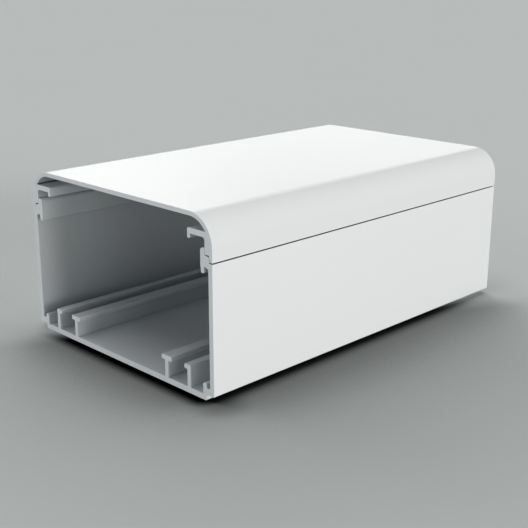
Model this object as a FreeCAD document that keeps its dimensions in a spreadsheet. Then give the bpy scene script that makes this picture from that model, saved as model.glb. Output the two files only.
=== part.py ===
"""Cable trunking sample: an extruded base with ribs and clip heads, and the cover that snaps onto it.

The length runs along Y, up is Z and the section is symmetrical about X = 0. The origin is at the middle of
the underside. All sizes are in millimetres, angles in degrees.
"""
import FreeCAD, Part
import math
import os
import Sketcher

# Driving sizes: alias in the size sheet, value, what it measures
SIZES = [
    ("cut_length", 172.0, "length of the cut sample"),
    ("overall_width", 110.0, "outside to outside of the side walls"),
    ("overall_height", 68.0, "underside of the floor to the top of the cover"),
    ("wall_thickness", 2.2, "side wall of the base"),
    ("wall_foot_round", 0.7, "round along the outer lower edge of the side wall"),
    ("floor_thickness", 2.2, "floor plate of the base"),
    ("foot_round", 0.7, "round along the lower edges of the floor plate"),
    ("corner_step_width", 4.1, "how far the wall stands out past the floor plate"),
    ("corner_step_height", 2.3, "underside of the floor up to the bottom of the wall"),
    ("corner_shelf_thickness", 2.45, "shelf that joins the wall to the floor plate"),
    ("corner_lip_thickness", 1.8, "upstand lip beside the wall"),
    ("corner_lip_rise", 1.75, "height of that lip above the shelf"),
    ("rib_height", 10.85, "underside of the floor to the top of every rib"),
    ("rib_web_thickness", 1.75, "upright part of a rib"),
    ("rib_head_thickness", 1.85, "flat head of a rib"),
    ("side_channel_width", 6.8, "lip to the outer L rib beside it"),
    ("rib_spacing", 13.45, "outer face of the outer L rib to the middle of the inner T rib"),
    ("outer_rib_head_width", 3.3, "head of the outer L rib"),
    ("inner_rib_head_width", 5.5, "head of the inner T rib"),
    ("small_round", 0.35, "round on rib heads, lips and free ends"),
    ("cover_depth", 16.35, "top of the cover to the lower edge of its skirt"),
    ("cover_thickness", 1.75, "top and skirt of the cover"),
    ("cover_corner_radius", 11.5, "large outside round along each upper edge"),
    ("seam_gap", 0.45, "shadow gap between the skirt and the wall below it"),
    ("slit_gap", 0.2, "gap between the cover's leg and the tongue below it, at its inner end"),
    ("tongue_slope", 9.0, "fall of the tongue's top towards the outside, in degrees"),
    ("fit_clearance", 0.1, "play between the faces of base and cover that slide together"),
    ("tongue_rise", 2.6, "top of the wall to the top of the tongue"),
    ("tongue_thickness", 2.15, "tongue between the clip plate and the skirt"),
    ("clip_plate_thickness", 2.25, "clip plate inside the tongue"),
    ("clip_plate_rise", 5.1, "top of the wall to the top of the clip plate"),
    ("clip_plate_drop", 4.0, "top of the wall down to the lower end of the clip plate"),
    ("clip_plate_bend", 1.5, "top of the wall down to where the clip plate starts to lean"),
    ("clip_plate_lean", 0.4, "how far its lower end leans towards the wall"),
    ("clip_plate_tip", 1.45, "thickness of its lower end"),
    ("clip_plate_round", 1.4, "round on the upper inside edge of the clip plate"),
    ("clip_head_fall", 0.6, "fall of the clip head's underside towards the wall"),
    ("snap_bead_depth", 0.35, "how far the snap bead stands out of the tongue"),
    ("snap_bead_foot", 1.1, "height of the bead where it leaves the tongue"),
    ("snap_bead_nose", 0.4, "height of the bead at its nose"),
    ("snap_bead_rise", 1.25, "top of the wall to the middle of the bead"),
    ("hook_plate_depth", 6.0, "top of the cover down to the hook plate"),
    ("hook_plate_thickness", 2.05, "hook plate of the cover"),
    ("hook_reach", 8.9, "inner face of the leg to the free edge of the hook plate"),
    ("hook_drop_thickness", 1.3, "turned-down edge of the hook plate"),
    ("hook_drop_height", 1.65, "how far that edge hangs below the plate"),
    ("hook_round", 0.7, "round on the upper free edge of the hook plate"),
    ("leg_fillet", 1.2, "inside round between the hook plate and the leg"),
]

doc = FreeCAD.newDocument("CableTrunking")
sheet = doc.addObject("Spreadsheet::Sheet", "Sizes")
for row, (alias, size, meaning) in enumerate(SIZES, start=1):
    sheet.set(f"A{row}", meaning)
    sheet.set(f"B{row}", str(size))
    sheet.setAlias(f"B{row}", alias)
doc.recompute()

# Places across the section, as formulas of the sizes; all are on the right-hand side, X > 0
HALF = "Sizes.overall_width / 2"
WALL_IN = f"{HALF} - Sizes.wall_thickness"
FOOT = f"{HALF} - Sizes.corner_step_width"
LIP_IN = f"{FOOT} - Sizes.corner_lip_thickness"
SKIRT_IN = f"{HALF} - Sizes.cover_thickness"
SKIRT_MID = f"{HALF} - Sizes.cover_thickness / 2"
TONGUE_OUT = f"{SKIRT_IN} - Sizes.fit_clearance"
CLIP_OUT = f"{TONGUE_OUT} - Sizes.tongue_thickness"
CLIP_IN = f"{CLIP_OUT} - Sizes.clip_plate_thickness"
CLIP_TIP_IN = f"{CLIP_IN} + Sizes.clip_plate_lean"
CLIP_TIP_OUT = f"{CLIP_TIP_IN} + Sizes.clip_plate_tip"
LEG_IN = f"{CLIP_OUT} + Sizes.fit_clearance"
BEAD_NOSE = f"{TONGUE_OUT} + Sizes.snap_bead_depth"
GROOVE_FLOOR = f"{BEAD_NOSE} + Sizes.fit_clearance"
HOOK_END = f"{LEG_IN} - Sizes.hook_reach"
HOOK_DROP_IN = f"{HOOK_END} + Sizes.hook_drop_thickness"
OUTER_RIB = f"{LIP_IN} - Sizes.side_channel_width"
INNER_RIB = f"{OUTER_RIB} - Sizes.rib_spacing"

# Heights above the underside, as formulas of the sizes
STEP = "Sizes.corner_step_height"
FLOOR_TOP = "Sizes.floor_thickness"
SHELF_TOP = f"{STEP} + Sizes.corner_shelf_thickness"
LIP_TOP = f"{SHELF_TOP} + Sizes.corner_lip_rise"
IN_FLOOR = "Sizes.floor_thickness / 2"
RIB_HEAD_LOW = "Sizes.rib_height - Sizes.rib_head_thickness"
COVER_LOW = "Sizes.overall_height - Sizes.cover_depth"
WALL_TOP = f"{COVER_LOW} - Sizes.seam_gap"
TONGUE_TOP = f"{WALL_TOP} + Sizes.tongue_rise"
CLIP_BEND = f"{WALL_TOP} - Sizes.clip_plate_bend"
CLIP_LOW = f"{WALL_TOP} - Sizes.clip_plate_drop"
BEAD_MID = f"{WALL_TOP} + Sizes.snap_bead_rise"
COVER_UNDER = "Sizes.overall_height - Sizes.cover_thickness"
HOOK_TOP = "Sizes.overall_height - Sizes.hook_plate_depth"
HOOK_LOW = f"{HOOK_TOP} - Sizes.hook_plate_thickness"
DROP_LOW = f"{HOOK_LOW} - Sizes.hook_drop_height"
LEG_LOW = f"{TONGUE_TOP} + Sizes.slit_gap"

# Slope of the tongue's top, and the round inside the cover, which shares its centre with the round outside
SLOPE = "tan(Sizes.tongue_slope)"
INSIDE_RADIUS = "Sizes.cover_corner_radius - Sizes.cover_thickness"
ROUND_LOW = "Sizes.overall_height - Sizes.cover_corner_radius"

# The end of a sketch item that a constraint names, and the sketch's own origin
START, END = 1, 2
ORIGIN = -1


def number(formula):
    """The value of a formula of the size sheet."""
    return float(sheet.evalExpression(formula))


def mid_skin(height):
    """How far out the middle of the cover's rounded skin lies at a height, as a formula."""
    middle = f"(Sizes.cover_corner_radius - Sizes.cover_thickness / 2)"
    return f"{HALF} - Sizes.cover_corner_radius + sqrt({middle}^2 - ({height} - ({ROUND_LOW}))^2)"


def section_sketch(body, name):
    """A sketch on the body's own cross-section plane: its first axis is X, its second is Z."""
    plane = next(item for item in body.Origin.OriginFeatures if item.Role == "XZ_Plane")
    sketch = body.newObject("Sketcher::SketchObject", name)
    sketch.AttachmentSupport = [(plane, "")]
    sketch.MapMode = "FlatFace"
    return sketch


def bind(sketch, constraint, formula):
    """Adds a dimension to a sketch and ties it to a formula of the size sheet."""
    index = sketch.addConstraint(constraint)
    sketch.setExpression(f"Constraints[{index}]", formula)


def pin(sketch, item, across, up):
    """Ties the start of a line, or a point, to its place, measured from the origin."""
    bind(sketch, Sketcher.Constraint("DistanceX", ORIGIN, START, item, START, number(across)), across)
    bind(sketch, Sketcher.Constraint("DistanceY", ORIGIN, START, item, START, number(up)), up)


def outline(sketch, corners):
    """Draws a closed outline. A corner is (across, up), or (across, up, radius) where it is rounded."""
    spots = [FreeCAD.Vector(number(item[0]), number(item[1]), 0) for item in corners]
    arrivals, departures = [], []
    for index, item in enumerate(corners):
        corner = spots[index]
        back = (spots[index - 1] - corner).normalize()
        onward = (spots[(index + 1) % len(spots)] - corner).normalize()
        reach = number(item[2]) / math.tan(back.getAngle(onward) / 2) if len(item) == 3 else 0
        arrivals.append(corner + back * reach)
        departures.append(corner + onward * reach)
    lines = []
    for index, departure in enumerate(departures):
        arrival = arrivals[(index + 1) % len(arrivals)]
        lines.append(sketch.addGeometry(Part.LineSegment(departure, arrival)))
    for index, item in enumerate(corners):
        before, after = lines[index - 1], lines[index]
        if len(item) == 3:
            round_corner(sketch, item, spots[index], arrivals[index], departures[index], before, after)
        else:
            sketch.addConstraint(Sketcher.Constraint("Coincident", before, END, after, START))
            pin(sketch, after, item[0], item[1])


def round_corner(sketch, item, corner, first, last, before, after):
    """Joins two edges with an arc tangent to both, and pins the point where the edges would meet."""
    across, up, radius = item
    inward = ((first - corner) + (last - corner)).normalize()
    half_angle = (first - corner).getAngle(last - corner) / 2
    centre = corner + inward * (number(radius) / math.sin(half_angle))
    counterclockwise = (first - centre).cross(last - centre).z > 0
    begin, finish = (first, last) if counterclockwise else (last, first)
    circle = Part.Circle(centre, FreeCAD.Vector(0, 0, 1), number(radius))
    arc = sketch.addGeometry(Part.ArcOfCircle(circle, bearing(centre, begin), bearing(centre, finish)))
    at_first, at_last = (START, END) if counterclockwise else (END, START)
    sketch.addConstraint(Sketcher.Constraint("Tangent", before, END, arc, at_first))
    sketch.addConstraint(Sketcher.Constraint("Tangent", arc, at_last, after, START))
    bind(sketch, Sketcher.Constraint("Radius", arc, number(radius)), radius)
    point = sketch.addGeometry(Part.Point(corner), True)
    sketch.addConstraint(Sketcher.Constraint("PointOnObject", point, START, before))
    sketch.addConstraint(Sketcher.Constraint("PointOnObject", point, START, after))
    pin(sketch, point, across, up)


def bearing(centre, spot):
    """The direction from a centre to a point, as an angle in radians."""
    return math.atan2(spot.y - centre.y, spot.x - centre.x)


def extrude(body, kind, name, corners):
    """Draws an outline on the section plane and runs it along the whole length, as a Pad or a Pocket."""
    sketch = section_sketch(body, f"{name}Outline")
    outline(sketch, corners)
    feature = body.newObject(f"PartDesign::{kind}", name)
    feature.Profile = sketch
    feature.SideType = "Symmetric"
    feature.setExpression("Length", "Sizes.cut_length")
    body.Tip = feature
    doc.recompute()
    return feature


def mirror(body, name, features):
    """Repeats features on the other side of the centre plane."""
    plane = next(item for item in body.Origin.OriginFeatures if item.Role == "YZ_Plane")
    mirrored = body.newObject("PartDesign::Mirrored", name)
    mirrored.Originals = features
    mirrored.MirrorPlane = (plane, [""])
    body.Tip = mirrored
    doc.recompute()
    return mirrored


def new_body(name, label):
    """An empty body for one physical piece; the label names its file."""
    body = doc.addObject("PartDesign::Body", name)
    body.Label = label
    return body


def make_base():
    """The U-shaped length that is screwed down: floor, side walls with clip heads, and four ribs."""
    body = new_body("TrunkingBase", "trunking_base")
    extrude(body, "Pad", "FloorPlate", [
        (f"-({FOOT})", "0", "Sizes.foot_round"),
        (FOOT, "0", "Sizes.foot_round"),
        (FOOT, FLOOR_TOP),
        (f"-({FOOT})", FLOOR_TOP),
    ])
    wall = extrude(body, "Pad", "SideWall", [
        (HALF, STEP, "Sizes.wall_foot_round"),
        (HALF, WALL_TOP),
        (TONGUE_OUT, WALL_TOP),
        (TONGUE_OUT, f"{TONGUE_TOP} - Sizes.tongue_thickness * {SLOPE}"),
        (CLIP_OUT, TONGUE_TOP),
        (CLIP_OUT, f"{WALL_TOP} + Sizes.clip_plate_rise"),
        (CLIP_IN, f"{WALL_TOP} + Sizes.clip_plate_rise", "Sizes.clip_plate_round"),
        (CLIP_IN, CLIP_BEND),
        (CLIP_TIP_IN, CLIP_LOW, "Sizes.small_round"),
        (CLIP_TIP_OUT, CLIP_LOW, "Sizes.small_round"),
        (CLIP_TIP_OUT, CLIP_BEND),
        (WALL_IN, f"{CLIP_BEND} - Sizes.clip_head_fall"),
        (WALL_IN, SHELF_TOP),
        (FOOT, SHELF_TOP),
        (FOOT, LIP_TOP, "Sizes.small_round"),
        (LIP_IN, LIP_TOP, "Sizes.small_round"),
        (LIP_IN, IN_FLOOR),
        (FOOT, IN_FLOOR),
        (FOOT, STEP),
    ])
    bead = extrude(body, "Pad", "SnapBead", [
        (f"{TONGUE_OUT} - Sizes.tongue_thickness / 2", f"{BEAD_MID} - Sizes.snap_bead_foot / 2"),
        (TONGUE_OUT, f"{BEAD_MID} - Sizes.snap_bead_foot / 2"),
        (BEAD_NOSE, f"{BEAD_MID} - Sizes.snap_bead_nose / 2"),
        (BEAD_NOSE, f"{BEAD_MID} + Sizes.snap_bead_nose / 2"),
        (TONGUE_OUT, f"{BEAD_MID} + Sizes.snap_bead_foot / 2"),
        (f"{TONGUE_OUT} - Sizes.tongue_thickness / 2", f"{BEAD_MID} + Sizes.snap_bead_foot / 2"),
    ])
    outer_rib = extrude(body, "Pad", "OuterRib", [
        (OUTER_RIB, IN_FLOOR),
        (OUTER_RIB, "Sizes.rib_height", "Sizes.small_round"),
        (f"{OUTER_RIB} - Sizes.outer_rib_head_width", "Sizes.rib_height", "Sizes.small_round"),
        (f"{OUTER_RIB} - Sizes.outer_rib_head_width", RIB_HEAD_LOW, "Sizes.small_round"),
        (f"{OUTER_RIB} - Sizes.rib_web_thickness", RIB_HEAD_LOW),
        (f"{OUTER_RIB} - Sizes.rib_web_thickness", IN_FLOOR),
    ])
    inner_rib = extrude(body, "Pad", "InnerRib", [
        (f"{INNER_RIB} + Sizes.rib_web_thickness / 2", IN_FLOOR),
        (f"{INNER_RIB} + Sizes.rib_web_thickness / 2", RIB_HEAD_LOW),
        (f"{INNER_RIB} + Sizes.inner_rib_head_width / 2", RIB_HEAD_LOW, "Sizes.small_round"),
        (f"{INNER_RIB} + Sizes.inner_rib_head_width / 2", "Sizes.rib_height", "Sizes.small_round"),
        (f"{INNER_RIB} - Sizes.inner_rib_head_width / 2", "Sizes.rib_height", "Sizes.small_round"),
        (f"{INNER_RIB} - Sizes.inner_rib_head_width / 2", RIB_HEAD_LOW, "Sizes.small_round"),
        (f"{INNER_RIB} - Sizes.rib_web_thickness / 2", RIB_HEAD_LOW),
        (f"{INNER_RIB} - Sizes.rib_web_thickness / 2", IN_FLOOR),
    ])
    mirror(body, "OtherSide", [wall, bead, outer_rib, inner_rib])
    return body


def make_cover():
    """The lid that clicks on: a thin shell with round edges, and a leg and hook plate on each side."""
    body = new_body("SnapCover", "snap_cover")
    extrude(body, "Pad", "CoverShell", [
        (HALF, COVER_LOW),
        (HALF, "Sizes.overall_height", "Sizes.cover_corner_radius"),
        (f"-({HALF})", "Sizes.overall_height", "Sizes.cover_corner_radius"),
        (f"-({HALF})", COVER_LOW),
        (f"-({SKIRT_IN})", COVER_LOW),
        (f"-({SKIRT_IN})", COVER_UNDER, INSIDE_RADIUS),
        (SKIRT_IN, COVER_UNDER, INSIDE_RADIUS),
        (SKIRT_IN, COVER_LOW),
    ])
    leg = extrude(body, "Pad", "HookAndLeg", [
        (HOOK_END, HOOK_TOP, "Sizes.hook_round"),
        (mid_skin(HOOK_TOP), HOOK_TOP),
        (mid_skin(HOOK_LOW), HOOK_LOW),
        (SKIRT_MID, LEG_LOW),
        (LEG_IN, LEG_LOW),
        (LEG_IN, HOOK_LOW, "Sizes.leg_fillet"),
        (HOOK_DROP_IN, HOOK_LOW),
        (HOOK_DROP_IN, DROP_LOW, "Sizes.small_round"),
        (HOOK_END, DROP_LOW, "Sizes.small_round"),
    ])
    solid_before = leg.Shape.Volume
    groove = extrude(body, "Pocket", "SnapGroove", [
        (TONGUE_OUT, f"{BEAD_MID} - Sizes.snap_bead_foot / 2 - Sizes.fit_clearance"),
        (GROOVE_FLOOR, f"{BEAD_MID} - Sizes.snap_bead_nose / 2 - Sizes.fit_clearance"),
        (GROOVE_FLOOR, f"{BEAD_MID} + Sizes.snap_bead_nose / 2 + Sizes.fit_clearance"),
        (TONGUE_OUT, f"{BEAD_MID} + Sizes.snap_bead_foot / 2 + Sizes.fit_clearance"),
    ])
    if groove.Shape.Volume >= solid_before:
        raise RuntimeError("the snap groove cut nothing")
    mirror(body, "OtherSide", [leg, groove])
    return body


def check_document():
    """Stops if any feature failed, or any sketch is left with a size undecided."""
    for item in doc.Objects:
        if "Invalid" in item.State or "Error" in item.State:
            raise RuntimeError(f"{item.Label} did not build: {item.State}")
        if item.isDerivedFrom("Sketcher::SketchObject") and not item.FullyConstrained:
            raise RuntimeError(f"{item.Label} is not fully constrained")


def write_piece(body):
    """Writes one piece to its own file, if its solid is sound."""
    shape = body.Shape
    if shape.isNull() or not shape.isValid() or len(shape.Solids) != 1:
        raise RuntimeError(f"{body.Label} is not one sound solid")
    shape.exportStep(os.path.join("parts", f"{body.Label}.step"))
    box = shape.BoundBox
    print(body.Label, f"{shape.Volume / 1000:.2f} cm3,", f"{len(shape.Faces)} faces,",
          f"X {box.XMin:.2f} to {box.XMax:.2f}, Y {box.YMin:.2f} to {box.YMax:.2f},",
          f"Z {box.ZMin:.2f} to {box.ZMax:.2f}")


pieces = [make_base(), make_cover()]
doc.recompute()
check_document()
os.makedirs("parts", exist_ok=True)
for piece in pieces:
    write_piece(piece)
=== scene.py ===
# %% [markdown]
# # A length of white cable trunking
#
# This lesson dresses a measured part: a short length of rigid plastic cable trunking, seen from its cut end.
# It is two extrusions. The base is a U with ribs on its floor, and the cover clicks onto it from above.
#
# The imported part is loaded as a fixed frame, with its shapes already at their real size. Blender's work here
# is the finish: soft edges, plastic that looks extruded and sawn, and the studio around it.

import math

import bpy
from mathutils import Matrix, Vector


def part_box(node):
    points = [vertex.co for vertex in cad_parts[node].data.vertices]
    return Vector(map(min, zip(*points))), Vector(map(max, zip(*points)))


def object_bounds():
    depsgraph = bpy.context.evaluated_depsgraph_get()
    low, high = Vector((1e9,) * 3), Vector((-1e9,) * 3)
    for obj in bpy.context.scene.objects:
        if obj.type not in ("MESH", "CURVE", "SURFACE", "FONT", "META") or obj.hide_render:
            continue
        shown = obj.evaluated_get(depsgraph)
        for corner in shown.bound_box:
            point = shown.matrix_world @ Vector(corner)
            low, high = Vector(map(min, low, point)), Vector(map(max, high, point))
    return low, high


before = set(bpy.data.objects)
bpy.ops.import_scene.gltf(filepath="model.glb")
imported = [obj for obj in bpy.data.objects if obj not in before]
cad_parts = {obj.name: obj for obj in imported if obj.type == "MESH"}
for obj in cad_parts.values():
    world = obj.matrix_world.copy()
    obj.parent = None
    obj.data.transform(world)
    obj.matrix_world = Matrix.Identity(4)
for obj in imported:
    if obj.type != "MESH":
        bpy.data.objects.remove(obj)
cad_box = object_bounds()
print("nodes:", sorted(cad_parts))
print("box in metres:", [[round(value, 4) for value in corner] for corner in cad_box])

# %% [markdown]
# ## Sizes that the rest is worked out from
#
# The lamps and the marks on the plastic are placed from the part itself, so the corners of its box get names
# first. The length runs along Y, and the cut end that faces the camera is the low end of Y.

# %% Name the corners of the part
MM = 0.001
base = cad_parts["trunking_base"]
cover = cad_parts["snap_cover"]
low, high = Vector(cad_box[0]), Vector(cad_box[1])
middle = (low + high) / 2
seam_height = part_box("snap_cover")[0].z
print("width, length, height in mm:", [round(value / MM, 1) for value in (high - low)])
print("lower edge of the cover, at the seam:", round(seam_height / MM, 1), "mm")

# %% [markdown]
# ## Soft edges
#
# No moulded or extruded edge is a perfect corner: it is rounded by about a tenth of a millimetre, and that
# thin round is what catches the light along every edge of the cut end. The shapes are right as they come, so
# they aren't rebuilt. Five modifiers do the work on top of them: Weld joins the faces that arrive as
# separate triangles, Decimate in its planar mode turns flat areas back into single faces, Bevel rounds what
# is still sharp, a second Weld joins the slivers of no area that it leaves where short edges meet, and
# Weighted Normal keeps the flat faces looking flat right up to that round.

# %% Round the edges of both extrusions
EDGE_ROUND = 0.14 * MM
WELD_DISTANCE = 0.002 * MM
FLAT_LIMIT = math.radians(1.0)
SHARP_LIMIT = math.radians(22.0)
BEVEL_STEPS = 3
FULL_WEIGHT = 100


def soften(piece):
    """Rounds the sharp edges of an extrusion with modifiers, and leaves its mesh as it is."""
    weld = piece.modifiers.new("join_faces", "WELD")
    weld.merge_threshold = WELD_DISTANCE
    flat = piece.modifiers.new("whole_flat_faces", "DECIMATE")
    flat.decimate_type = "DISSOLVE"
    flat.angle_limit = FLAT_LIMIT
    bevel = piece.modifiers.new("edge_round", "BEVEL")
    bevel.width = EDGE_ROUND
    bevel.segments = BEVEL_STEPS
    bevel.limit_method = "ANGLE"
    bevel.angle_limit = SHARP_LIMIT
    slivers = piece.modifiers.new("join_slivers", "WELD")
    slivers.merge_threshold = WELD_DISTANCE
    normals = piece.modifiers.new("even_shading", "WEIGHTED_NORMAL")
    normals.weight = FULL_WEIGHT


for piece in (base, cover):
    soften(piece)
    print(piece.name, "has modifiers", [modifier.type for modifier in piece.modifiers])

# %% [markdown]
# ## Short words for building node trees
#
# A material is a graph, and building one in code repeats three steps: make a node, set its sockets, join
# sockets. The helpers below say each step in one line. `feed` takes either a plain value or another socket,
# so a value can later be replaced by a texture without changing the call.

# %% Helpers for nodes
FLOAT = "NodeSocketFloat"


def add(tree, kind, **settings):
    """Makes a node and sets its plain properties."""
    node = tree.nodes.new(kind)
    for name, value in settings.items():
        setattr(node, name, value)
    return node


def feed(tree, value, socket):
    """Gives a socket its value: a link if the value is another socket, else a constant."""
    if isinstance(value, bpy.types.NodeSocket):
        tree.links.new(value, socket)
    else:
        socket.default_value = value


def calc(tree, operation, first, second=0.0):
    """One Math node; the result is a socket."""
    node = add(tree, "ShaderNodeMath", operation=operation)
    feed(tree, first, node.inputs[0])
    feed(tree, second, node.inputs[1])
    return node.outputs[0]


def ramp(tree, value, from_low, from_high, to_low=0.0, to_high=1.0):
    """A smooth step: a value between two limits becomes a value between two others."""
    node = add(tree, "ShaderNodeMapRange", interpolation_type="SMOOTHSTEP")
    feed(tree, value, node.inputs["Value"])
    feed(tree, from_low, node.inputs["From Min"])
    feed(tree, from_high, node.inputs["From Max"])
    feed(tree, to_low, node.inputs["To Min"])
    feed(tree, to_high, node.inputs["To Max"])
    return node.outputs["Result"]


def blend_values(tree, share, first, second):
    """Goes from one number to another as share goes from 0 to 1."""
    node = add(tree, "ShaderNodeMix", data_type="FLOAT")
    feed(tree, share, node.inputs["Factor"])
    feed(tree, first, node.inputs["A"])
    feed(tree, second, node.inputs["B"])
    return node.outputs["Result"]


def blend_colours(tree, share, first, second, mode="MIX"):
    """Goes from one colour to another as share goes from 0 to 1."""
    # A Mix node has sockets for every kind of data. Those for colours are inputs 6 and 7 and output 2.
    node = add(tree, "ShaderNodeMix", data_type="RGBA", blend_type=mode)
    feed(tree, share, node.inputs[0])
    feed(tree, first, node.inputs[6])
    feed(tree, second, node.inputs[7])
    return node.outputs[2]


def new_group(name, inputs, outputs):
    """An empty shader node group with its sockets, and its two end nodes."""
    tree = bpy.data.node_groups.new(name, "ShaderNodeTree")
    for label, kind, value in inputs:
        socket = tree.interface.new_socket(label, in_out="INPUT", socket_type=kind)
        socket.default_value = value
    for label in outputs:
        tree.interface.new_socket(label, in_out="OUTPUT", socket_type=FLOAT)
    return tree, add(tree, "NodeGroupInput"), add(tree, "NodeGroupOutput")


def use_group(tree, group, **values):
    """Places a node group in a material and sets its inputs; an underscore stands for a space."""
    node = add(tree, "ShaderNodeGroup", node_tree=group)
    for name, value in values.items():
        feed(tree, value, node.inputs[name.replace("_", " ")])
    return node


print("helpers ready")

# %% [markdown]
# ## Extrusion lines
#
# Soft plastic is pushed through a steel die and drawn away. Every tiny nick of the die leaves a line along
# the whole length, and uneven cooling leaves broad, faint waves. Both run along Y. A noise texture that is
# squeezed along X and Z and stretched along Y gives exactly that, at two widths: fine lines and broad waves.
# The group puts out a height for the bump and a streak value for the gloss.

# %% Group for the extrusion lines
LINE_CHANGES_PER_METRE = 3.0
WAVE_CHANGES_PER_METRE = 1.5
STREAK_LIMITS = (0.35, 0.65)


def make_extrusion_lines():
    """Fine lines and broad waves along the length, as a height and as streaks."""
    tree, start, end = new_group(
        "extrusion_lines",
        [("Lines Per Metre", FLOAT, 900.0), ("Waves Per Metre", FLOAT, 45.0), ("Wave Share", FLOAT, 0.5)],
        ["Height", "Streaks"],
    )
    place = add(tree, "ShaderNodeTexCoord").outputs["Object"]
    heights = []
    widths = (("Lines Per Metre", LINE_CHANGES_PER_METRE), ("Waves Per Metre", WAVE_CHANGES_PER_METRE))
    for label, lengthwise in widths:
        spread = add(tree, "ShaderNodeCombineXYZ")
        feed(tree, start.outputs[label], spread.inputs["X"])
        feed(tree, lengthwise, spread.inputs["Y"])
        feed(tree, start.outputs[label], spread.inputs["Z"])
        scaled = add(tree, "ShaderNodeVectorMath", operation="MULTIPLY")
        feed(tree, place, scaled.inputs[0])
        feed(tree, spread.outputs[0], scaled.inputs[1])
        noise = add(tree, "ShaderNodeTexNoise", noise_dimensions="3D")
        feed(tree, scaled.outputs[0], noise.inputs["Vector"])
        feed(tree, 1.0, noise.inputs["Scale"])
        feed(tree, 3.0, noise.inputs["Detail"])
        heights.append(noise.outputs["Fac"])
    fine, broad = heights
    feed(tree, blend_values(tree, start.outputs["Wave Share"], fine, broad), end.inputs["Height"])
    feed(tree, ramp(tree, fine, *STREAK_LIMITS), end.inputs["Streaks"])
    return tree


extrusion_lines = make_extrusion_lines()
print("group", extrusion_lines.name)

# %% [markdown]
# ## Saw marks on the cut ends
#
# The length was cut from a long bar with a circular saw. The teeth leave shallow arcs, and the cut face is
# duller and a little greyer than the skin, because the skin was polished by the die and the inside never
# was. The mask finds the cut ends by their direction: they are the only faces that look along Y. The arcs
# are rings round the axle of the saw, well below the part, broken up by noise so that no two are alike.

# %% Group for the sawn ends
SAW_AXLE = Vector((60 * MM, 0.0, -95 * MM))
LOOKS_ALONG_Y = (0.75, 0.97)
WOBBLES_PER_METRE = 120.0
MARK_LIMITS = (0.3, 0.7)


def make_saw_marks():
    """Arcs of a saw blade as a height, and a mask of the faces that look along Y."""
    tree, start, end = new_group(
        "saw_marks",
        [("Marks Per Metre", FLOAT, 1400.0), ("Wander", FLOAT, 0.0006)],
        ["Mask", "Height", "Grey"],
    )
    facing = add(tree, "ShaderNodeSeparateXYZ")
    feed(tree, add(tree, "ShaderNodeNewGeometry").outputs["Normal"], facing.inputs[0])
    along = calc(tree, "ABSOLUTE", facing.outputs["Y"])
    feed(tree, ramp(tree, along, *LOOKS_ALONG_Y), end.inputs["Mask"])
    place = add(tree, "ShaderNodeTexCoord").outputs["Object"]
    flat = add(tree, "ShaderNodeVectorMath", operation="MULTIPLY")
    feed(tree, place, flat.inputs[0])
    feed(tree, (1.0, 0.0, 1.0), flat.inputs[1])
    reach = add(tree, "ShaderNodeVectorMath", operation="DISTANCE")
    feed(tree, flat.outputs[0], reach.inputs[0])
    feed(tree, SAW_AXLE, reach.inputs[1])
    wobble = add(tree, "ShaderNodeTexNoise", noise_dimensions="3D")
    feed(tree, place, wobble.inputs["Vector"])
    feed(tree, WOBBLES_PER_METRE, wobble.inputs["Scale"])
    shift = calc(tree, "MULTIPLY", wobble.outputs["Fac"], start.outputs["Wander"])
    radius = calc(tree, "ADD", reach.outputs["Value"], shift)
    marks = add(tree, "ShaderNodeTexNoise", noise_dimensions="1D")
    feed(tree, calc(tree, "MULTIPLY", radius, start.outputs["Marks Per Metre"]), marks.inputs["W"])
    feed(tree, 1.0, marks.inputs["Scale"])
    feed(tree, 4.0, marks.inputs["Detail"])
    feed(tree, 0.7, marks.inputs["Roughness"])
    feed(tree, marks.outputs["Fac"], end.inputs["Height"])
    feed(tree, ramp(tree, marks.outputs["Fac"], *MARK_LIMITS), end.inputs["Grey"])
    return tree


saw_marks = make_saw_marks()
print("group", saw_marks.name)

# %% [markdown]
# ## Worn edges
#
# Handling polishes and whitens the edges of such stock first, and its flat faces hardly at all. A Bevel
# node gives the normal that a rounder edge would have. Where it turns away from the real normal, there is
# an edge, and the more it turns, the nearer the edge is. Noise breaks the mask up, so the wear comes and
# goes.

# %% Group for the edge wear
EDGE_TURN = (0.995, 0.88)
PATCH_LIMITS = (0.38, 0.66)
LEAST_WEAR = 0.25


def make_edge_wear():
    """A broken-up mask along the edges."""
    tree, start, end = new_group(
        "edge_wear",
        [("Reach", FLOAT, 0.4 * MM), ("Patches Per Metre", FLOAT, 260.0)],
        ["Mask"],
    )
    bevel = add(tree, "ShaderNodeBevel", samples=6)
    feed(tree, start.outputs["Reach"], bevel.inputs["Radius"])
    turn = add(tree, "ShaderNodeVectorMath", operation="DOT_PRODUCT")
    feed(tree, bevel.outputs["Normal"], turn.inputs[0])
    feed(tree, add(tree, "ShaderNodeNewGeometry").outputs["Normal"], turn.inputs[1])
    edge = ramp(tree, turn.outputs["Value"], *EDGE_TURN)
    patches = add(tree, "ShaderNodeTexNoise", noise_dimensions="3D")
    feed(tree, add(tree, "ShaderNodeTexCoord").outputs["Object"], patches.inputs["Vector"])
    feed(tree, start.outputs["Patches Per Metre"], patches.inputs["Scale"])
    feed(tree, 3.0, patches.inputs["Detail"])
    broken = ramp(tree, patches.outputs["Fac"], *PATCH_LIMITS, LEAST_WEAR, 1.0)
    feed(tree, calc(tree, "MULTIPLY", edge, broken), end.inputs["Mask"])
    return tree


edge_wear = make_edge_wear()
print("group", edge_wear.name)

# %% [markdown]
# ## Cloudy tone
#
# White plastic is coloured with a powder, and it is never mixed in perfectly even. The tone drifts by less
# than a hundredth over a few centimetres. It is far too little to see as spots, but without it a large flat
# face looks like a paper cut-out. The floor uses the same group with larger clouds.

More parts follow.
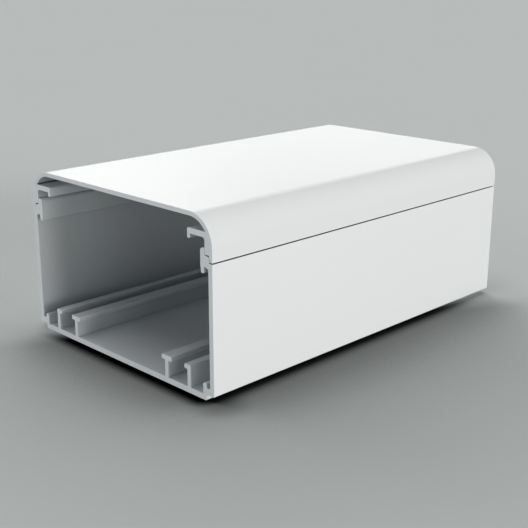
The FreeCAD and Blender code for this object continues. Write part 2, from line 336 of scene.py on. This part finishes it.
# %% Group for the tone of the plastic
def make_cloudy_tone():
    """A value close to 1 that drifts slowly over the surface."""
    tree, start, end = new_group(
        "cloudy_tone",
        [("Clouds Per Metre", FLOAT, 28.0), ("Amount", FLOAT, 0.02)],
        ["Tone"],
    )
    noise = add(tree, "ShaderNodeTexNoise", noise_dimensions="3D")
    feed(tree, add(tree, "ShaderNodeTexCoord").outputs["Object"], noise.inputs["Vector"])
    feed(tree, start.outputs["Clouds Per Metre"], noise.inputs["Scale"])
    feed(tree, 4.0, noise.inputs["Detail"])
    drift = calc(tree, "SUBTRACT", noise.outputs["Fac"], 0.5)
    scaled = calc(tree, "MULTIPLY", drift, start.outputs["Amount"])
    feed(tree, calc(tree, "ADD", scaled, 1.0), end.inputs["Tone"])
    return tree


cloudy_tone = make_cloudy_tone()
print("group", cloudy_tone.name)

# %% [markdown]
# ## Painted shade in the crevices
#
# The seam between the two extrusions, the slot of the clip and the corners of the ribs get painted shade:
# their colour is darkened to stand for the shade that falls in them. The Ambient Occlusion node tells how
# closed in a spot is. Within a reach of about a millimetre it picks out just those places. With a longer
# reach it finds the hollow of the duct, whose colour is darkened too, as painted shade.
#
# Three things shape that second mask. It counts only between the walls, so the floor below doesn't darken
# their outside. The tightest corners are left out of it, as they are dark enough by themselves, and so is the
# rest of the channels near the cut ends. And faces that look up, below the clips, get the painted shade even
# where they are fairly open.

# %% Group for the crevices
ABOVE_THE_STEP = (2.0 * MM, 2.6 * MM)
GAP_SHUT = (0.75, 0.2)
BETWEEN_WALLS = (high.x - 1.0 * MM, high.x - 1.6 * MM)
HOLLOW_DEEP = (0.9, 0.15)
NEAR_THE_CUT = (high.y - 31 * MM, high.y - 2 * MM)
UNSHADED_BELOW = (0.06, 0.45)
LOOKS_UP = (0.5, 0.95)
UPWARD_SHARE = 0.4
UNDER_THE_CLIPS = (57 * MM, 55 * MM)


def make_crevice_shade():
    """Masks for painted shade: in the narrow gaps and inner corners, and in the hollow inside."""
    tree, start, end = new_group(
        "crevice_shade",
        [("Gap Reach", FLOAT, 1.2 * MM), ("Hollow Reach", FLOAT, 60.0 * MM)],
        ["Gap", "Hollow"],
    )
    place = add(tree, "ShaderNodeSeparateXYZ")
    feed(tree, add(tree, "ShaderNodeTexCoord").outputs["Object"], place.inputs[0])
    # Gap: where shade is painted in the narrow gaps and inner corners.
    gap = add(tree, "ShaderNodeAmbientOcclusion", samples=6)
    feed(tree, start.outputs["Gap Reach"], gap.inputs["Distance"])
    above = ramp(tree, place.outputs["Z"], *ABOVE_THE_STEP)
    shut = ramp(tree, gap.outputs["AO"], *GAP_SHUT)
    feed(tree, calc(tree, "MULTIPLY", shut, above), end.inputs["Gap"])
    # Hollow: where shade is painted in the hollow of the duct.
    hollow = add(tree, "ShaderNodeAmbientOcclusion", samples=6)
    feed(tree, start.outputs["Hollow Reach"], hollow.inputs["Distance"])
    across = calc(tree, "ABSOLUTE", place.outputs["X"])
    between = ramp(tree, across, *BETWEEN_WALLS)
    deep = ramp(tree, hollow.outputs["AO"], *HOLLOW_DEEP)
    along = calc(tree, "ABSOLUTE", place.outputs["Y"])
    unshaded_below = ramp(tree, along, *NEAR_THE_CUT, *UNSHADED_BELOW)
    open_enough = ramp(tree, hollow.outputs["AO"], 0.0, unshaded_below)
    facing = add(tree, "ShaderNodeSeparateXYZ")
    feed(tree, add(tree, "ShaderNodeNewGeometry").outputs["Normal"], facing.inputs[0])
    upward_faces = ramp(tree, facing.outputs["Z"], *LOOKS_UP, 0.0, UPWARD_SHARE)
    under_clips = ramp(tree, place.outputs["Z"], *UNDER_THE_CLIPS)
    upward_faces = calc(tree, "MULTIPLY", upward_faces, under_clips)
    hollow_shade = blend_values(tree, upward_faces, calc(tree, "MULTIPLY", deep, open_enough), 1.0)
    feed(tree, calc(tree, "MULTIPLY", hollow_shade, between), end.inputs["Hollow"])
    return tree


crevice_shade = make_crevice_shade()
print("group", crevice_shade.name)

# %% [markdown]
# ## The white plastic
#
# One function makes the plastic for both extrusions. The skin is smooth and fairly glossy, the sawn ends are
# duller, and every edge is a touch lighter. The gaps and the hollow inside are darkened, as painted shade. The
# constant values, such as the index of refraction of rigid vinyl, are set on the Principled BSDF itself, and
# only what changes over the surface reaches it by a link.

# %% Material of the extrusions
def grey(tone, red=1.0, green=1.0, blue=1.0):
    """A colour of one tone, with a slight tint."""
    return (tone * red, tone * green, tone * blue, 1.0)


VINYL_IOR = 1.53
# The next value paints shade: the near black of the narrow gaps and corners.
GAP_SHADE = grey(0.05)
# The next two values paint shade in the hollow of the duct: its cool dark tone and its share.
HOLLOW_SHADE = (0.20, 0.30, 0.38, 1.0)
HOLLOW_SHADE_SHARE = 0.5
SAW_SHADE = grey(0.94)
SAW_SHADE_SHARE = 0.5
WORN_WHITE = grey(0.9)
WORN_SHARE = 0.35
STREAK_DULLING = 0.008
SAWN_ROUGHNESS = 0.55
LINE_HEIGHT = 0.025
RELIEF_DEPTH = 0.012 * MM


def make_plastic(name, skin, sawn, roughness, clouds):
    """White extruded plastic, from the colours of skin and cut ends, the skin's roughness and the clouds."""
    material = bpy.data.materials.new(name)
    material.use_nodes = True
    tree = material.node_tree
    shader = tree.nodes["Principled BSDF"]
    shader.inputs["IOR"].default_value = VINYL_IOR
    lines = use_group(tree, extrusion_lines, Lines_Per_Metre=900.0, Waves_Per_Metre=45.0, Wave_Share=0.5)
    saw = use_group(tree, saw_marks, Marks_Per_Metre=1400.0, Wander=0.0006)
    wear = use_group(tree, edge_wear, Reach=0.4 * MM, Patches_Per_Metre=260.0)
    tone = use_group(tree, cloudy_tone, Clouds_Per_Metre=clouds, Amount=0.02)
    crevice_masks = use_group(tree, crevice_shade, Gap_Reach=1.2 * MM, Hollow_Reach=60.0 * MM)
    cut = saw.outputs["Mask"]
    marked = calc(tree, "MULTIPLY", saw.outputs["Grey"], SAW_SHADE_SHARE)
    sawn_tone = blend_colours(tree, marked, sawn, SAW_SHADE, "MULTIPLY")
    colour = blend_colours(tree, cut, skin, sawn_tone)
    colour = blend_colours(tree, 1.0, colour, tone.outputs["Tone"], "MULTIPLY")
    worn = calc(tree, "MULTIPLY", wear.outputs["Mask"], WORN_SHARE)
    colour = blend_colours(tree, worn, colour, WORN_WHITE)
    # Painted shade: the hollow of the duct is darkened towards a cool dark tone.
    inner = calc(tree, "SUBTRACT", 1.0, cut)
    hollow_shade = calc(tree, "MULTIPLY", crevice_masks.outputs["Hollow"], calc(tree, "MULTIPLY", inner, HOLLOW_SHADE_SHARE))
    colour = blend_colours(tree, hollow_shade, colour, HOLLOW_SHADE, "MULTIPLY")
    # Painted shade: the narrow gaps and corners turn nearly black.
    colour = blend_colours(tree, crevice_masks.outputs["Gap"], colour, GAP_SHADE)
    feed(tree, colour, shader.inputs["Base Color"])
    skin_roughness = blend_values(tree, lines.outputs["Streaks"], roughness, roughness + STREAK_DULLING)
    feed(tree, blend_values(tree, cut, skin_roughness, SAWN_ROUGHNESS), shader.inputs["Roughness"])
    skin_height = calc(tree, "MULTIPLY", lines.outputs["Height"], LINE_HEIGHT)
    height = blend_values(tree, cut, skin_height, saw.outputs["Height"])
    bump = add(tree, "ShaderNodeBump")
    bump.inputs["Strength"].default_value = 1.0
    bump.inputs["Distance"].default_value = RELIEF_DEPTH
    feed(tree, height, bump.inputs["Height"])
    feed(tree, bump.outputs["Normal"], shader.inputs["Normal"])
    return material


base_plastic = make_plastic("base_plastic", grey(0.83), grey(0.70), roughness=0.26, clouds=28.0)
cover_plastic = make_plastic("cover_plastic", grey(0.81), grey(0.70), roughness=0.20, clouds=24.0)
base.material_slots[0].material = base_plastic
cover.material_slots[0].material = cover_plastic
print("materials:", base_plastic.name, cover_plastic.name)

# %% [markdown]
# ## The floor
#
# The camera looks down, so a wide, plain floor fills the whole picture. It is a pale, slightly cool grey,
# and quite matte: a floor with a sheen would turn paler towards the horizon in low views, and end in a step.
#
# Low lamps leave hardly any shadow right beside a bright wall, yet that contact shadow is what sets a thing
# on the floor. The Ambient Occlusion node measures how much stands close above each spot of the floor. Used
# at two reaches, it deepens the shadow softly around the part and strongly in the crack under its edge.
#
# A second group works from the place on the floor and gives four masks. Rim is the dark line along the
# foot. Lee and Side both pick the side away from the high lamp on the left, Lee with a quick change, for
# that line, and Side with a slow one, for the soft shadow. Corner deepens the line at the near right
# corner, where its two sides meet.

# %% Groups for the contact shadow
TOWARDS_LIGHT = (-0.852, 0.523, 0.0)
ANY_HEIGHT = 1.0
FOOT_HALF = (48 * MM, 86 * MM, ANY_HEIGHT)
NEAR_CORNER = (57.5 * MM, -85.5 * MM, 0.0)
LEE_EDGE = (-5 * MM, -19 * MM)
SIDE_EDGE = (-4 * MM, -24 * MM)
SIDE_LEAST = 0.1
CORNER_REACH = (1 * MM, 14 * MM)
CORNER_DARK = 0.55


def make_contact_shade():
    """A factor that is 1 on open floor and falls where something stands close above it."""
    tree, start, end = new_group(
        "contact_shade",
        [("Reach", FLOAT, 90 * MM), ("Depth", FLOAT, 0.5), ("Opening", FLOAT, 0.4)],
        ["Shade"],
    )
    nearness = add(tree, "ShaderNodeAmbientOcclusion", samples=12)
    feed(tree, start.outputs["Reach"], nearness.inputs["Distance"])
    dark = calc(tree, "SUBTRACT", 1.0, start.outputs["Depth"])
    shade = ramp(tree, nearness.outputs["AO"], start.outputs["Opening"], 1.0, dark, 1.0)
    feed(tree, shade, end.inputs["Shade"])
    return tree


def make_dark_rim():
    """Masks from the place on the floor: Rim and Corner are 1 where it is clear, Lee and Side in the lee."""
    tree, start, end = new_group(
        "dark_rim",
        [("Dark Until", FLOAT, 2 * MM), ("Clear From", FLOAT, 8 * MM)],
        ["Rim", "Lee", "Side", "Corner"],
    )
    place = add(tree, "ShaderNodeTexCoord").outputs["Object"]
    size = add(tree, "ShaderNodeVectorMath", operation="ABSOLUTE")
    feed(tree, place, size.inputs[0])
    outside = add(tree, "ShaderNodeVectorMath", operation="SUBTRACT")
    feed(tree, size.outputs[0], outside.inputs[0])
    feed(tree, FOOT_HALF, outside.inputs[1])
    beyond = add(tree, "ShaderNodeVectorMath", operation="MAXIMUM")
    feed(tree, outside.outputs[0], beyond.inputs[0])
    feed(tree, (0.0, 0.0, 0.0), beyond.inputs[1])
    reach = add(tree, "ShaderNodeVectorMath", operation="LENGTH")
    feed(tree, beyond.outputs[0], reach.inputs[0])
    rim = ramp(tree, reach.outputs["Value"], start.outputs["Dark Until"], start.outputs["Clear From"])
    feed(tree, rim, end.inputs["Rim"])
    towards = add(tree, "ShaderNodeVectorMath", operation="DOT_PRODUCT")
    feed(tree, place, towards.inputs[0])
    feed(tree, TOWARDS_LIGHT, towards.inputs[1])
    feed(tree, ramp(tree, towards.outputs["Value"], *LEE_EDGE), end.inputs["Lee"])
    feed(tree, ramp(tree, towards.outputs["Value"], *SIDE_EDGE, SIDE_LEAST, 1.0), end.inputs["Side"])
    from_corner = add(tree, "ShaderNodeVectorMath", operation="DISTANCE")
    feed(tree, place, from_corner.inputs[0])
    feed(tree, NEAR_CORNER, from_corner.inputs[1])
    corner = ramp(tree, from_corner.outputs["Value"], *CORNER_REACH, CORNER_DARK, 1.0)
    feed(tree, corner, end.inputs["Corner"])
    return tree


contact_shade = make_contact_shade()
dark_rim = make_dark_rim()
print("groups", contact_shade.name, dark_rim.name)

# %% [markdown]
# The floor joins these masks into one factor on its colour. It also drifts from a darker tone in front of
# the part to a paler one behind it, and to the tone of the background further out, so that no line shows
# where the floor ends. The factor is for rays from the camera only, by the Light Path node, because it
# stands for shadow: the light that the floor throws back on the part is that of a plain floor.

# %% Pale floor
FLOOR_HALF = 12.0
FLOOR_GREY = grey(0.57, 0.955, 1.0, 0.98)
MATTE = 0.9
BEHIND = (-0.6, 0.8, 0.0)
FRONT_TO_BACK = (-60 * MM, 60 * MM)
FRONT_AND_BACK_TONE = (0.93, 1.10)
OPEN_FLOOR_TONE = 1.175
OPEN_FLOOR_FROM = (120 * MM, 300 * MM)


def make_floor():
    """A wide flat floor just under the part."""
    mesh = bpy.data.meshes.new("floor")
    corners = [(-1, -1), (1, -1), (1, 1), (-1, 1)]
    spots = [(x * FLOOR_HALF, y * FLOOR_HALF, low.z) for x, y in corners]
    mesh.from_pydata(spots, [], [(0, 1, 2, 3)])
    floor = bpy.data.objects.new("floor", mesh)
    bpy.context.scene.collection.objects.link(floor)
    material = bpy.data.materials.new("floor_grey")
    material.use_nodes = True
    tree = material.node_tree
    shader = tree.nodes["Principled BSDF"]
    shader.inputs["Roughness"].default_value = MATTE
    shader.inputs["Specular IOR Level"].default_value = 0.0
    tone = use_group(tree, cloudy_tone, Clouds_Per_Metre=3.0, Amount=0.02)
    wide = use_group(tree, contact_shade, Reach=130 * MM, Depth=0.66, Opening=0.45)
    near = use_group(tree, contact_shade, Reach=7 * MM, Depth=0.8, Opening=0.35)
    rim = use_group(tree, dark_rim, Dark_Until=2 * MM, Clear_From=8.5 * MM)
    contact = calc(tree, "MULTIPLY", near.outputs["Shade"], rim.outputs["Rim"])
    contact = calc(tree, "MULTIPLY", contact, rim.outputs["Corner"])
    contact = blend_values(tree, rim.outputs["Lee"], 1.0, contact)
    soft = blend_values(tree, rim.outputs["Side"], 1.0, wide.outputs["Shade"])
    away = add(tree, "ShaderNodeVectorMath", operation="LENGTH")
    feed(tree, add(tree, "ShaderNodeTexCoord").outputs["Object"], away.inputs[0])
    towards = add(tree, "ShaderNodeVectorMath", operation="DOT_PRODUCT")
    feed(tree, add(tree, "ShaderNodeTexCoord").outputs["Object"], towards.inputs[0])
    feed(tree, BEHIND, towards.inputs[1])
    beside = ramp(tree, towards.outputs["Value"], *FRONT_TO_BACK, *FRONT_AND_BACK_TONE)
    far = ramp(tree, away.outputs["Value"], *OPEN_FLOOR_FROM)
    drift = blend_values(tree, far, beside, OPEN_FLOOR_TONE)
    shown = calc(tree, "MULTIPLY", calc(tree, "MULTIPLY", soft, contact), drift)
    looked_at = add(tree, "ShaderNodeLightPath").outputs["Is Camera Ray"]
    shown = blend_values(tree, looked_at, 1.0, shown)
    colour = blend_colours(tree, 1.0, FLOOR_GREY, tone.outputs["Tone"], "MULTIPLY")
    colour = blend_colours(tree, 1.0, colour, shown, "MULTIPLY")
    feed(tree, colour, shader.inputs["Base Color"])
    mesh.materials.append(material)
    return floor


make_floor()
print("floor at height", round(low.z, 4))

# %% [markdown]
# ## Soft studio light
#
# Nine soft boxes and a faint fill light the part. Each soft box is a Sun lamp with a wide angle, which acts
# like a large lamp a long way off: its shadows are soft, and the floor stays even, because its light doesn't
# fall away with distance. Two high lamps light the top and the floor. Low lamps light the walls they face
# and hardly touch the floor, so the inside of the duct stays dark while the cut end and the long side are
# bright. The two far lamps do the same for the other long side and cut end, which the camera doesn't see.
#
# The lamp low behind the part, and the weaker one on its left, are there for their reflection: they make the
# flat top nearly white, and where the rounded edge turns away from them, the plastic drops back to its own
# tone. The other low lamps are left out of reflections, or they would burn out the top and the inside when
# those are seen from the far side at a low angle.

# %% World and lamps
FILL = 0.016
BACKGROUND = grey(0.50, 0.95, 1.0, 0.98)
COOL = (0.88, 0.96, 1.0)
NEUTRAL = (1.0, 1.0, 1.0)
LAMP_DISTANCE = 2.0
LAMPS = (
    # name, azimuth, elevation and spread in degrees, level, tint, seen in reflections
    ("overhead_lamp", 0.0, 89.9, 60.0, 0.31, NEUTRAL, True),
    ("high_left_lamp", 170.0, 50.0, 60.0, 0.32, NEUTRAL, True),
    ("low_back_lamp", 134.5, 18.0, 35.0, 0.090, NEUTRAL, True),
    ("low_left_lamp", 150.0, 25.0, 30.0, 0.036, NEUTRAL, True),
    ("low_right_lamp", 4.7, 5.0, 25.0, 0.855, NEUTRAL, False),
    ("near_right_lamp", -20.0, 5.0, 20.0, 0.07, COOL, False),
    ("low_front_lamp", -90.0, 2.0, 12.0, 0.51, COOL, False),
    ("far_left_lamp", 180.0, 2.0, 12.0, 0.34, NEUTRAL, False),
    ("far_back_lamp", 90.0, 2.0, 12.0, 0.14, COOL, False),
)


def make_world():
    """A faint even light from all sides; rays that show the surroundings find a pale grey."""
    world = bpy.data.worlds.new("studio")
    bpy.context.scene.world = world
    world.use_nodes = True
    tree = world.node_tree
    light = tree.nodes["Background"]
    light.inputs["Color"].default_value = grey(1.0, *COOL)
    light.inputs["Strength"].default_value = FILL
    seen = add(tree, "ShaderNodeBackground")
    seen.inputs["Color"].default_value = BACKGROUND
    seen.inputs["Strength"].default_value = 1.0
    path = add(tree, "ShaderNodeLightPath")
    shown = calc(tree, "MAXIMUM", path.outputs["Is Camera Ray"], path.outputs["Is Glossy Ray"])
    shown = calc(tree, "MAXIMUM", shown, path.outputs["Is Transmission Ray"])
    mix = add(tree, "ShaderNodeMixShader")
    feed(tree, shown, mix.inputs[0])
    feed(tree, light.outputs[0], mix.inputs[1])
    feed(tree, seen.outputs[0], mix.inputs[2])
    feed(tree, mix.outputs[0], tree.nodes["World Output"].inputs["Surface"])


def make_softbox(name, azimuth, elevation, spread, level, tint, mirrored):
    """A wide, distant lamp. Azimuth 0 is +X, 90 is +Y; level 1 lights what faces it as brightly as white."""
    lamp = bpy.data.lights.new(name, "SUN")
    lamp.angle = math.radians(spread)
    lamp.energy = level * math.pi
    lamp.color = tint
    box = bpy.data.objects.new(name, lamp)
    flat = math.cos(math.radians(elevation))
    towards = Vector((
        flat * math.cos(math.radians(azimuth)),
        flat * math.sin(math.radians(azimuth)),
        math.sin(math.radians(elevation)),
    ))
    box.location = middle + towards * LAMP_DISTANCE
    box.rotation_euler = towards.to_track_quat("Z", "Y").to_euler()
    box.visible_glossy = mirrored
    bpy.context.scene.collection.objects.link(box)
    return box


make_world()
lamps = [make_softbox(*row) for row in LAMPS]
print("lamps:", [lamp.name for lamp in lamps])

# %% [markdown]
# ## Camera
#
# The camera stands off the near right corner, above the top of the part. Its place and lens were worked out
# from the straight edges of the part in the picture: the three sets of parallel edges give the direction and
# the lens, and the width of the part gives the distance.

# %% Camera
CAMERA_SPOT = Vector((288.23 * MM, -293.64 * MM, 148.04 * MM))
CAMERA_YAW = math.radians(45.143)
CAMERA_PITCH = math.radians(17.188)
CAMERA_ROLL = math.radians(0.073)
PICTURE_SIDE = 528
FOCAL_PIXELS = 973.2
SENSOR = 36.0
NEAREST = 0.01
FARTHEST = 100.0


def make_camera():
    """A camera on the near right, with the view direction given by yaw, pitch and roll."""
    data = bpy.data.cameras.new("camera")
    data.sensor_width = SENSOR
    data.lens = SENSOR * FOCAL_PIXELS / PICTURE_SIDE
    data.clip_start = NEAREST
    data.clip_end = FARTHEST
    camera = bpy.data.objects.new("camera", data)
    turn = Matrix.Rotation(CAMERA_YAW, 4, "Z")
    tilt = Matrix.Rotation(math.radians(90.0) - CAMERA_PITCH, 4, "X")
    roll = Matrix.Rotation(CAMERA_ROLL, 4, "Z")
    camera.matrix_world = Matrix.Translation(CAMERA_SPOT) @ turn @ tilt @ roll
    bpy.context.scene.collection.objects.link(camera)
    bpy.context.scene.camera = camera
    return camera


camera = make_camera()
bpy.context.scene.view_settings.view_transform = "Standard"
print("camera lens in mm:", round(camera.data.lens, 2))
